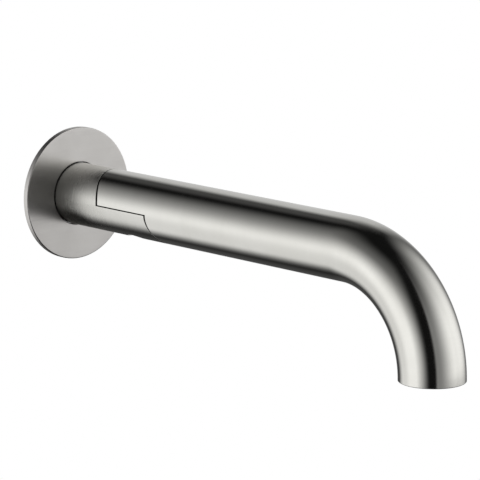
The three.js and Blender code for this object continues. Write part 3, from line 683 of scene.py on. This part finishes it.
def make_screw(name, centre, outline, low, key_flats, key_depth, material):
    """Screw turned about an upright axis from an outline of (radius, z), with a hexagon socket from below."""
    shell = Shell()
    turns = circle(SMALL_AROUND)
    top = low + key_depth
    socket = []
    for z in (top, low + SMALL_EDGE):
        socket.append([
            Vector((centre.x + hexagon_reach(key_flats, a) * math.cos(a),
                    centre.y + hexagon_reach(key_flats, a) * math.sin(a), z))
            for a in turns
        ])
    mouth = key_flats / 2 / math.cos(math.pi / 6) + SMALL_EDGE / 2
    shell.face(socket[0])
    rings = socket + [about_z(mouth, low, turns, centre)]
    rings += [about_z(radius, z, turns, centre) for radius, z in outline]
    shell.hollow(rings)
    shell.face(rings[-1])
    shell.weld()
    return finished(shell, name, [material], ring_grain(centre, 0.0))


def make_pivot_screw(material):
    low = SCREW_LOW.z
    head_top = low + SCREW_HEAD_THICKNESS
    tip = SCREW_HIGH.z
    outline = arc((SCREW_RADIUS - FLANGE_EDGE, low + FLANGE_EDGE), FLANGE_EDGE, -90, 0)
    outline += [(SCREW_RADIUS, head_top), (SCREW_SHANK_RADIUS, head_top)]
    outline += [(SCREW_SHANK_RADIUS, tip - SMALL_EDGE), (SCREW_SHANK_RADIUS - SMALL_EDGE, tip)]
    return make_screw("pivot_cap_screw", PIVOT, outline, low, SCREW_KEY_FLATS, SCREW_KEY_DEPTH, material)


def make_grub_screw(material):
    centre = (GRUB_LOW + GRUB_HIGH) / 2
    radius = GRUB_HIGH.x
    low = GRUB_LOW.z
    tip = GRUB_HIGH.z - LEVEL_GAP
    outline = arc((radius - SMALL_EDGE, low + SMALL_EDGE), SMALL_EDGE, -90, 0)
    outline += [(radius, tip - SMALL_EDGE), (radius - SMALL_EDGE, tip)]
    return make_screw("socket_grub_screw", centre, outline, low, GRUB_KEY_FLATS, GRUB_KEY_DEPTH, material)


# ---------------------------------------------------------------- aerator ring

def make_aerator_ring(material):
    """Ring with an inner lip and two slots for its key."""
    shell = Shell()
    low, high = HOUSING_LOW.z, HOUSING_HIGH.z
    outer = HOUSING_HIGH.x
    inner = outer - AERATOR_WALL
    lip = inner - AERATOR_LIP_WIDTH
    slot_half = AERATOR_SLOT_WIDTH / 2

    # Each column has the side it looks to and whether it stands in a slot; edges of a slot come twice.
    columns = []
    for side in (0, 1):
        for i in range(SLOT_STEPS + 1):
            columns.append((side, slot_half * (2 * i / SLOT_STEPS - 1), None))
        for i in range(SLOT_WALL_STEPS + 1):
            columns.append((side, None, i / SLOT_WALL_STEPS))

    def ring(radius, level_in_slot, level):
        edge = math.asin(slot_half / radius)
        points = []
        for side, across, share in columns:
            if across is not None:
                angle, z = math.asin(across / radius), level_in_slot
            else:
                angle, z = edge + (math.pi - 2 * edge) * share, level
            turned = angle + math.pi * side
            points += about_z(radius, z, [turned], OUTLET)
        return points

    slot_top = low + AERATOR_SLOT_DEPTH
    lip_top = low + AERATOR_LIP_HEIGHT
    rings = [
        ring(lip, slot_top, low + SMALL_EDGE),
        ring(lip + SMALL_EDGE, slot_top, low),
        ring(outer - SMALL_EDGE, slot_top, low),
        ring(outer, slot_top, low + SMALL_EDGE),
        ring(outer, high, high),
        ring(inner, high, high),
        ring(inner, lip_top, lip_top),
        ring(lip, lip_top, lip_top),
    ]
    shell.hollow(rings + rings[:1])
    shell.weld()
    return finished(shell, "aerator_ring", [material], ring_grain(OUTLET, 0.0))


# ---------------------------------------------------------------- materials

class Graph:
    """Short hand for a node tree: numbers and sockets go in, a socket comes out."""

    def __init__(self, tree):
        tree.nodes.clear()
        self.tree = tree

    def node(self, kind, inputs=(), **settings):
        node = self.tree.nodes.new("ShaderNode" + kind)
        for name, value in settings.items():
            setattr(node, name, value)
        for name, value in dict(inputs).items():
            if isinstance(value, bpy.types.NodeSocket):
                self.tree.links.new(value, node.inputs[name])
            else:
                node.inputs[name].default_value = value
        return node

    def math(self, operation, *values):
        return self.node("Math", dict(enumerate(values)), operation=operation).outputs[0]

    def step(self, value, start, end, low=0.0, high=1.0):
        """Smooth step of a value from low at start to high at end."""
        inputs = {"Value": value, "From Min": start, "From Max": end, "To Min": low, "To Max": high}
        return self.node("MapRange", inputs, interpolation_type="SMOOTHSTEP").outputs["Result"]

    def range(self, value, start, end, low, high):
        inputs = {"Value": value, "From Min": start, "From Max": end, "To Min": low, "To Max": high}
        return self.node("MapRange", inputs).outputs["Result"]

    def tint(self, share, first, second):
        inputs = {"Factor": share, 6: first, 7: second}
        return self.node("Mix", inputs, data_type="RGBA").outputs[2]

    def noise(self, vector, scale, detail=2.0, roughness=0.5):
        inputs = {"Vector": vector, "Scale": scale, "Detail": detail, "Roughness": roughness}
        return self.node("TexNoise", inputs).outputs["Fac"]

    def stretched(self, vector, scale):
        inputs = {"Vector": vector, "Scale": scale}
        return self.node("Mapping", inputs, vector_type="POINT").outputs["Vector"]

    def grain_place(self):
        """Place for a grain that has no seam: across the section, and along."""
        section = self.node("UVMap", uv_map="section").outputs["UV"]
        around = self.node("UVMap", uv_map="around").outputs["UV"]
        across = self.node("SeparateXYZ", {"Vector": section})
        along = self.node("SeparateXYZ", {"Vector": around})
        inputs = {"X": across.outputs["X"], "Y": across.outputs["Y"], "Z": along.outputs["Y"]}
        return self.node("CombineXYZ", inputs).outputs["Vector"]


def new_material(name):
    material = bpy.data.materials.new(name)
    material.use_nodes = True
    return material, Graph(material.node_tree)


def surface(graph, inputs):
    shader = graph.node("BsdfPrincipled", inputs)
    graph.node("OutputMaterial", {"Surface": shader.outputs["BSDF"]})


# Which way a brushed face blurs what it mirrors, as a share of a turn from the UV map's first direction.
ACROSS_THE_GRAIN = 0.25
ALONG_THE_GRAIN = 0.0

# Noise scales per metre. A grain's are low along its streaks and high across them.
FINE_STREAKS = (60, 60, 5200)
BROAD_STREAKS = (14, 14, 900)
TURNED_RINGS = (90, 90, 4200)
SLOW_TONE = 38.0
HANDLING_MARKS = 210.0
METAL_CLOUD = 160.0
MOULDED_CLOUD = 120.0

STREAK_DEPTH = 0.004 * MM
STREAK_BUMP = 0.12
RING_BUMP = 0.3
GRIT_BUMP = 0.5
STREAK_SHADE = 0.9
STREAK_SHARE = 0.3
GRIT_SHADE = 0.6
GRIT_SHARE = 0.4
FINE_SPREAD = 0.05
BROAD_SPREAD = 0.03
MARK_SPREAD = 0.03
GRIT_SPREAD = 0.07
SLOW_SPREAD = (-0.015, 0.02)
# Openness, from ambient occlusion, over which the painted crevice shade fades out.
PAINTED_SHADE_OPEN_RANGE = (0.45, 0.95)


def shaded(colour, share):
    return [c * share for c in colour[:3]] + [1]


def brushed_metal(name, colours, roughness, streaks, anisotropy, spread=ACROSS_THE_GRAIN, crevice_shade=1.0):
    """Metal with streaks along its grain, slow changes of tone, faint handling marks and, where asked,
    painted shade in its crevices.

    streaks is how strong the streaks are, and crevice_shade the share of its colour that a crevice keeps, as
    painted shade.
    """
    material, graph = new_material(name)
    place = graph.grain_place()
    solid = graph.node("TexCoord").outputs["Object"]
    fine = graph.noise(graph.stretched(place, FINE_STREAKS), 1.0, 3.0, 0.6)
    broad = graph.noise(graph.stretched(place, BROAD_STREAKS), 1.0, 2.0, 0.5)
    slow = graph.noise(solid, SLOW_TONE, 3.0, 0.55)
    marks = graph.noise(solid, HANDLING_MARKS, 4.0, 0.6)
    colour = graph.tint(graph.step(slow, 0.35, 0.65), colours[0], colours[1])
    darker = shaded(colours[0], STREAK_SHADE)
    colour = graph.tint(graph.range(broad, 0.3, 0.7, 0.0, STREAK_SHARE * streaks), colour, darker)
    # Painted shade: the colour darkens in narrow gaps and crevices, where ambient occlusion finds the surface
    # closed in.
    if crevice_shade < 1:
        openness = graph.node("AmbientOcclusion", {"Distance": PAINTED_SHADE_REACH}, samples=8).outputs["AO"]
        colour = graph.tint(graph.step(openness, *PAINTED_SHADE_OPEN_RANGE), shaded(colours[1], crevice_shade), colour)
    fine_spread, broad_spread = FINE_SPREAD * streaks, BROAD_SPREAD * streaks
    rough = graph.math("ADD", roughness, graph.range(fine, 0.25, 0.75, -fine_spread, fine_spread))
    rough = graph.math("ADD", rough, graph.range(broad, 0.3, 0.7, -broad_spread, broad_spread))
    rough = graph.math("ADD", rough, graph.range(slow, 0.35, 0.65, *SLOW_SPREAD))
    rough = graph.math("ADD", rough, graph.range(marks, 0.55, 0.75, 0.0, MARK_SPREAD))
    bump = graph.node("Bump", {"Strength": STREAK_BUMP * streaks, "Distance": STREAK_DEPTH, "Height": fine})
    tangent = graph.node("Tangent", direction_type="UV_MAP", uv_map="around")
    surface(graph, {
        "Base Color": colour, "Metallic": 1.0, "Roughness": rough, "Normal": bump.outputs["Normal"],
        "Tangent": tangent.outputs["Tangent"], "Anisotropic": anisotropy, "Anisotropic Rotation": spread,
    })
    return material


NICKEL = ((0.645, 0.639, 0.606, 1), (0.615, 0.608, 0.573, 1))
WARM_NICKEL = ((0.55, 0.537, 0.521, 1), (0.53, 0.516, 0.499, 1))
BRASS = ((0.76, 0.58, 0.30, 1), (0.70, 0.51, 0.25, 1))
STEEL = ((0.62, 0.62, 0.61, 1), (0.56, 0.56, 0.56, 1))
PLATE = ((0.72, 0.71, 0.69, 1), (0.68, 0.67, 0.65, 1))
RUBBER = ((0.018, 0.018, 0.019, 1), (0.035, 0.034, 0.034, 1))
PLASTIC = ((0.70, 0.69, 0.65, 1), (0.80, 0.79, 0.76, 1))
FOAM = ((0.035, 0.036, 0.04, 1), (0.065, 0.066, 0.07, 1))


def solid_metal(name, colours, roughness):
    """Metal for inner pieces that have no grain map: machined rings fade into a cloudy tone."""
    material, graph = new_material(name)
    solid = graph.node("TexCoord").outputs["Object"]
    rings = graph.noise(graph.stretched(solid, TURNED_RINGS), 1.0, 3.0, 0.6)
    cloud = graph.noise(solid, METAL_CLOUD, 3.0, 0.6)
    colour = graph.tint(graph.step(cloud, 0.35, 0.65), colours[0], colours[1])
    rough = graph.math("ADD", roughness, graph.range(rings, 0.3, 0.7, -FINE_SPREAD, FINE_SPREAD))
    bump = graph.node("Bump", {"Strength": RING_BUMP, "Distance": STREAK_DEPTH, "Height": rings})
    surface(graph, {
        "Base Color": colour, "Metallic": 1.0, "Roughness": rough, "Normal": bump.outputs["Normal"],
    })
    return material


def moulded(name, dark, light, roughness, grit, depth):
    """Rubber, plastic or foam: a cloudy tone with a fine moulded or open grit."""
    material, graph = new_material(name)
    solid = graph.node("TexCoord").outputs["Object"]
    cloud = graph.noise(solid, MOULDED_CLOUD, 3.0, 0.6)
    grain = graph.noise(solid, grit, 3.0, 0.7)
    colour = graph.tint(graph.step(cloud, 0.3, 0.7), dark, light)
    colour = graph.tint(graph.range(grain, 0.35, 0.65, 0.0, GRIT_SHARE), colour, shaded(dark, GRIT_SHADE))
    rough = graph.range(grain, 0.3, 0.7, roughness - GRIT_SPREAD, roughness + GRIT_SPREAD)
    bump = graph.node("Bump", {"Strength": GRIT_BUMP, "Distance": depth, "Height": grain})
    surface(graph, {"Base Color": colour, "Roughness": rough, "Normal": bump.outputs["Normal"]})
    return material


# ---------------------------------------------------------------- pieces

def place(piece, body, slot_name, *nodes):
    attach(piece, body)
    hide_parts(*nodes)
    return piece


base_nickel = brushed_metal("brushed_nickel_base", NICKEL, roughness=0.26, streaks=0.35, anisotropy=0.75)
spout_nickel = brushed_metal("brushed_nickel_spout", NICKEL, roughness=0.125, streaks=0.6, anisotropy=0.3)
# The flange carries painted shade: its crevices, such as the mouth round the tube, keep a tenth of its
# colour.
flange_nickel = brushed_metal(
    "brushed_nickel_flange", WARM_NICKEL, roughness=0.31, streaks=0.5, anisotropy=0.65,
    spread=ALONG_THE_GRAIN, crevice_shade=0.1,
)
# Machined faces carry painted shade: where they stand in the lap's narrow seams they are darkened almost to
# black.
machined_nickel = brushed_metal(
    "machined_nickel", NICKEL, roughness=0.3, streaks=1.4, anisotropy=0.3, crevice_shade=0.03,
)
turned_brass = brushed_metal("turned_brass", BRASS, roughness=0.27, streaks=1.0, anisotropy=0.3)
screw_steel = brushed_metal("screw_steel", STEEL, roughness=0.3, streaks=1.0, anisotropy=0.2)
satin_plate = brushed_metal("satin_plate", PLATE, roughness=0.25, streaks=0.6, anisotropy=0.2)
inner_brass = solid_metal("inner_brass", BRASS, roughness=0.33)
inner_steel = solid_metal("inner_steel", STEEL, roughness=0.32)
black_rubber = moulded("black_rubber", *RUBBER, roughness=0.6, grit=3200, depth=0.02 * MM)
white_plastic = moulded("white_plastic", *PLASTIC, roughness=0.42, grit=1500, depth=0.01 * MM)
grey_foam = moulded("closed_cell_foam", *FOAM, roughness=0.88, grit=1800, depth=0.08 * MM)

place(make_base(base_nickel, machined_nickel), "base", "brushed_nickel", "base_body")
place(make_spout(spout_nickel, machined_nickel), "spout", "brushed_nickel", "spout_body")
place(make_flange(flange_nickel), "flange", "brushed_nickel", "wall_flange")
place(make_nipple(turned_brass), "base", "brass", "inlet_nipple")
gasket = place(make_gasket(grey_foam), "flange", "foam", "flange_wall_gasket")
place(make_washer(black_rubber), "base", "rubber", "wall_seal_washer")
place(make_grub_screw(screw_steel), "base", "stainless", "base_grub_screw")
place(make_pivot_screw(spout_nickel), "spout", "brushed_nickel", "pivot_screw")
place(make_aerator_ring(satin_plate), "spout", "plated_trim", "aerator_housing")

KEPT_NODES = {
    "rubber": (black_rubber, [
        "flange_grip_ring", "nipple_o_ring_1", "nipple_o_ring_2", "outlet_gasket",
        "spigot_o_ring_lower", "spigot_o_ring_middle", "spigot_o_ring_upper",
    ]),
    "white_plastic": (white_plastic, [
        "lap_slip_washer", "pivot_thrust_washer", "aerator_cartridge", "flow_regulator",
    ]),
    "brass": (inner_brass, ["swivel_spigot"]),
    "stainless": (inner_steel, ["swivel_stop_pin", "aerator_screen"]),
}
for slot_name, (material, names) in KEPT_NODES.items():
    for name in names:
        node = frame["nodes"][name]
        node.data.materials.clear()
        node.data.materials.append(material)


# ---------------------------------------------------------------- studio

# Softboxes round the object: (azimuth, sides, elevation, ends, glow). Azimuth 0 is +x and 90 is the wall.
# Azimuth and elevation run from one edge of the full light to the other, sides and ends are how far it fades
# beyond them, and all four are in degrees.
#
# Most of these numbers are the output of a fitting program, rounded to whole degrees. It matched what the
# metal mirrors to the brightness in the photo. Set afterwards are left_core, left_panel's azimuth and
# sides, right_panel's glow and AMBIENT.
SOFTBOXES = {
    "left_panel": ((112, 168), (34, 48), (-36, -11), (14, 53), 0.99),
    "left_core": ((148, 168), (25, 18), (-30, 0), (15, 40), 0.26),
    "left_upper": ((122, 182), (32, 30), (4, 26), (27, 47), 0.22),
    "front_panel": ((243, 302), (9, 60), (-18, 16), (21, 71), 0.28),
    "right_panel": ((313, 342), (66, 53), (-4, 14), (20, 74), 1.04),
    "right_fill": ((-23, -4), (22, 18), (-35, 7), (30, 64), 0.17),
    "back_strip": ((39, 51), (20, 14), (-4, 29), (24, 28), 0.61),
    "back_fill": ((44, 70), (16, 19), (-28, 50), (39, 19), 0.07),
    "low_fill": ((175, 205), (15, 20), (-50, -35), (20, 15), 0.18),
}
AMBIENT = 0.008
FLOOR_HALF = 6.0
FLOOR_LEVEL = -0.3


def make_studio():
    world = bpy.data.worlds.new("studio")
    world.use_nodes = True
    bpy.context.scene.world = world
    graph = Graph(world.node_tree)
    direction = graph.node("TexCoord").outputs["Generated"]
    split = graph.node("SeparateXYZ", {"Vector": direction})
    azimuth = graph.math("DEGREES", graph.math("ARCTAN2", split.outputs["Y"], split.outputs["X"]))
    elevation = graph.math("DEGREES", graph.math("ARCSINE", split.outputs["Z"]))
    light = AMBIENT
    for (left, right), sides, (bottom, top), ends, glow in SOFTBOXES.values():
        middle, half = (left + right) / 2, (right - left) / 2
        away = graph.math("WRAP", graph.math("SUBTRACT", azimuth, middle), 180, -180)
        window = graph.step(away, -half - sides[0], -half)
        window = graph.math("MULTIPLY", window, graph.step(away, half + sides[1], half))
        window = graph.math("MULTIPLY", window, graph.step(elevation, bottom - ends[0], bottom))
        window = graph.math("MULTIPLY", window, graph.step(elevation, top + ends[1], top))
        light = graph.math("MULTIPLY_ADD", window, glow, light)
    seen = graph.node("LightPath").outputs["Is Camera Ray"]
    studio = graph.node("Background", {"Color": (1, 1, 1, 1), "Strength": light})
    backdrop = graph.node("Background", {"Color": (1, 1, 1, 1), "Strength": 1.0})
    inputs = {0: seen, 1: studio.outputs["Background"], 2: backdrop.outputs["Background"]}
    shown = graph.node("MixShader", inputs)
    graph.node("OutputWorld", {"Surface": shown.outputs["Shader"]})


def make_floor():
    """Pale floor, lit evenly, that metal doesn't mirror."""
    material, graph = new_material("pale_floor")
    glow = graph.node("Emission", {"Color": (1, 1, 1, 1), "Strength": 1.0})
    clear = graph.node("BsdfTransparent")
    under = graph.node("NewGeometry").outputs["Backfacing"]
    shown = graph.node("MixShader", {0: under, 1: glow.outputs["Emission"], 2: clear.outputs["BSDF"]})
    graph.node("OutputMaterial", {"Surface": shown.outputs["Shader"]})
    half, level = FLOOR_HALF, FLOOR_LEVEL
    data = bpy.data.meshes.new("floor")
    corners = [(-half, -half, level), (half, -half, level), (half, half, level), (-half, half, level)]
    data.from_pydata(corners, [], [(0, 1, 2, 3)])
    data.materials.append(material)
    floor = bpy.data.objects.new("floor", data)
    bpy.context.scene.collection.objects.link(floor)
    floor.visible_glossy = False
    floor.visible_diffuse = False


# Camera: degrees round from the spout's front and up, the point it aims at, and its lens. The numbers are the
# output of a fitting program that matched the outlines and seams to the photo.
CAMERA_TURN = -43.31
CAMERA_LIFT = 11.44
CAMERA_AIM = Vector((-1.25, -110.4, -5.67)) * MM
CAMERA_DISTANCE = 1295.5 * MM
CAMERA_LENS = 227.3
SENSOR_WIDTH = 36


def make_camera():
    turn, lift = math.radians(CAMERA_TURN), math.radians(CAMERA_LIFT)
    back = Vector((math.sin(turn) * math.cos(lift), -math.cos(turn) * math.cos(lift), math.sin(lift)))
    right = Vector((math.cos(turn), math.sin(turn), 0))
    up = back.cross(right)
    data = bpy.data.cameras.new("camera")
    data.sensor_width = SENSOR_WIDTH
    data.lens = CAMERA_LENS
    camera = bpy.data.objects.new("camera", data)
    bpy.context.scene.collection.objects.link(camera)
    rotation = Matrix((right, up, back)).transposed()
    camera.matrix_world = Matrix.Translation(CAMERA_AIM + back * CAMERA_DISTANCE) @ rotation.to_4x4()
    bpy.context.scene.camera = camera


make_studio()
make_floor()
make_camera()
bpy.context.scene.view_settings.view_transform = "Standard"
